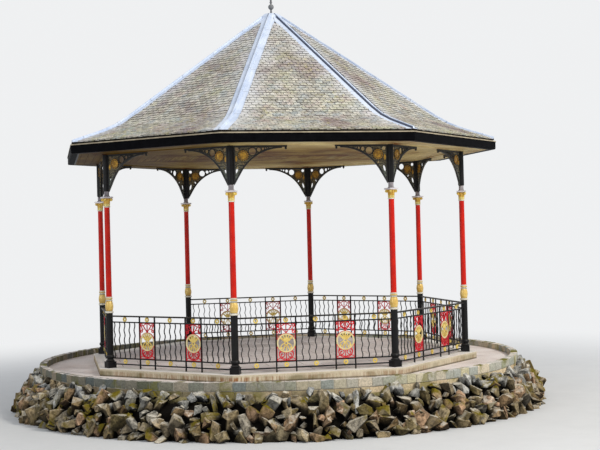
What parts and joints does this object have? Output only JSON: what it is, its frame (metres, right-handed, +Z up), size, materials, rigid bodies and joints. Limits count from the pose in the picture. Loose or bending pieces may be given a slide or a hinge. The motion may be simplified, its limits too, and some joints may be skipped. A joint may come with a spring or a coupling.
{
  "type": "bandstand",
  "caption": "Eight-sided cast-iron bandstand with a slated roof, pierced brackets and scrolled railings, on a round stone terrace with a rockery foot.",
  "frame": {"origin": "on the vertical axis of the building at the water line, where the masonry foot ends", "axes": "+Z up; -Y points out of the front railed bay; the open entrance bay lies at 135 degrees from +X"},
  "size_m": [10.2331, 10.2928, 8.0976],
  "materials": {
    "rock": "rough angular boulders with moss in the gaps",
    "fill": "packed rubble fill",
    "wall_stone": "brown coursed stone with light mortar",
    "kerb_setts": "grey-green stone setts with light mortar",
    "paving": "pale grey paving",
    "plinth_stone": "buff stone with rust stains",
    "floor_stone": "pale grey stone flags",
    "black_iron": "gloss black paint on cast iron",
    "gold_paint": "gold and cream paint on cast iron",
    "red_paint": "gloss signal red paint on cast iron",
    "cream_timber": "cream painted boards with damp stains",
    "slate": "small buff and grey slates with lichen",
    "lead": "weathered pale sheet lead",
    "grey_iron": "weathered grey paint on iron"
  },
  "bodies": {
    "root": {"rockery": "rock", "island_core": "fill", "terrace_wall": "wall_stone", "terrace_kerb": "kerb_setts", "terrace_paving": "paving", "plinth_stones": "plinth_stone", "floor": "floor_stone", "column_feet": "black_iron", "column_vases": "gold_paint", "column_shafts": "red_paint", "column_capitals": "gold_paint", "upper_posts": "black_iron", "railing_1": "black_iron", "railing_2": "black_iron", "railing_3": "black_iron", "railing_4": "black_iron", "railing_5": "black_iron", "railing_6": "black_iron", "railing_7": "black_iron", "rail_rings": "gold_paint", "rail_medallions": "gold_paint", "scroll_panels": "red_paint", "bay_brackets_1": "black_iron", "bay_brackets_2": "black_iron", "bay_brackets_3": "black_iron", "bay_brackets_4": "black_iron", "bay_brackets_5": "black_iron", "bay_brackets_6": "black_iron", "bay_brackets_7": "black_iron", "bay_brackets_8": "black_iron", "bracket_rosettes": "gold_paint", "ring_beam": "cream_timber", "ceiling": "cream_timber", "eaves_soffit": "cream_timber", "fascia": "cream_timber", "gutter": "black_iron", "roof_slope_1": "slate", "roof_slope_2": "slate", "roof_slope_3": "slate", "roof_slope_4": "slate", "roof_slope_5": "slate", "roof_slope_6": "slate", "roof_slope_7": "slate", "roof_slope_8": "slate", "hip_leads": "lead", "apex_cap": "lead", "finial": "grey_iron"}
  },
  "joints": []
}
